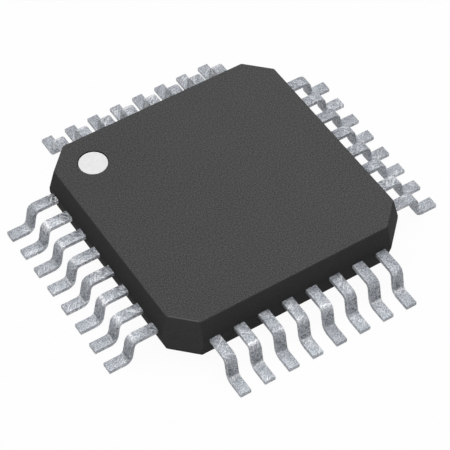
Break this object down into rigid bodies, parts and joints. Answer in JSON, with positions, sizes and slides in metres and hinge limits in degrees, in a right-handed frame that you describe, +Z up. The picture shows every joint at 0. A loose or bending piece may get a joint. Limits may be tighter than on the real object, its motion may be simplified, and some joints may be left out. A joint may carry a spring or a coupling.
{
  "type": "quad flat pack chip",
  "caption": "Thin square surface-mount chip package with gull-wing leads on all four sides, cut corners and a round mark for the first lead.",
  "frame": {"origin": "middle of the seating plane that the feet stand on", "axes": "+Z up through the moulding's top face; +X and +Y along the rows of leads, with the mark for the first lead at the -X +Y corner"},
  "size_m": [0.007, 0.007, 0.001],
  "materials": {
    "moulding": "fine-grained dark epoxy",
    "mark_paint": "white ink",
    "tinned_lead": "matte tin plating with fine scratches",
    "bare_copper": "bare copper alloy",
    "attach_film": "silver-filled adhesive",
    "silicon": "polished",
    "gold_wire": "drawn gold wire"
  },
  "bodies": {
    "root": {"mould_body": "moulding", "pin_one_mark": "mark_paint", "die_pad": "bare_copper", "die_attach": "attach_film", "silicon_die": "silicon", "lead_01": "tinned_lead", "lead_02": "tinned_lead", "lead_03": "tinned_lead", "lead_04": "tinned_lead", "lead_05": "tinned_lead", "lead_06": "tinned_lead", "lead_07": "tinned_lead", "lead_08": "tinned_lead", "lead_09": "tinned_lead", "lead_10": "tinned_lead", "lead_11": "tinned_lead", "lead_12": "tinned_lead", "lead_13": "tinned_lead", "lead_14": "tinned_lead", "lead_15": "tinned_lead", "lead_16": "tinned_lead", "lead_17": "tinned_lead", "lead_18": "tinned_lead", "lead_19": "tinned_lead", "lead_20": "tinned_lead", "lead_21": "tinned_lead", "lead_22": "tinned_lead", "lead_23": "tinned_lead", "lead_24": "tinned_lead", "lead_25": "tinned_lead", "lead_26": "tinned_lead", "lead_27": "tinned_lead", "lead_28": "tinned_lead", "lead_29": "tinned_lead", "lead_30": "tinned_lead", "lead_31": "tinned_lead", "lead_32": "tinned_lead", "bond_wires_left": "gold_wire", "bond_wires_front": "gold_wire", "bond_wires_right": "gold_wire", "bond_wires_back": "gold_wire"}
  },
  "joints": []
}
